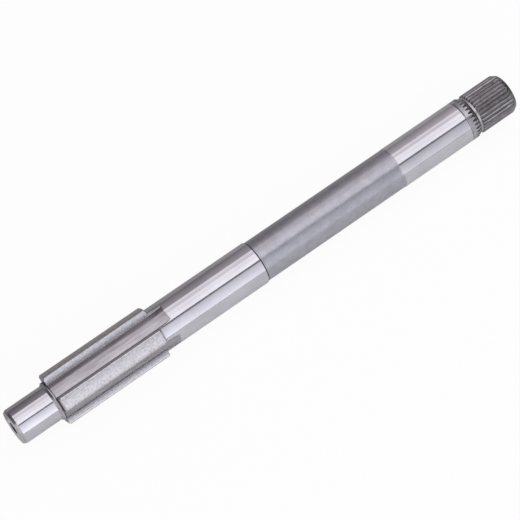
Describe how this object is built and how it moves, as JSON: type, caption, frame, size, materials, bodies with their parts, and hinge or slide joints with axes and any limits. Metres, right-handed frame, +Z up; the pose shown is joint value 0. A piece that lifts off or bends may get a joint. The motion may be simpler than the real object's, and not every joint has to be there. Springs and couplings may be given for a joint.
{
  "type": "kick start shaft",
  "caption": "Straight steel kick start shaft with a plain end journal, a parallel-sided spline with milled run-outs, ground seats and a finely serrated lever end.",
  "frame": {"origin": "on the shaft's axis, where the end journal meets its shoulder", "axes": "+X along the shaft's axis from the plain end to the serrated lever end, +Z up with the shaft lying on two neighbouring spline teeth and its lever end, +Y completes a right-handed frame"},
  "size_m": [0.2207, 0.018, 0.018],
  "materials": {
    "steel": "ground and satin machined steel"
  },
  "bodies": {
    "root": {"kick_start_shaft": "steel"}
  },
  "joints": []
}
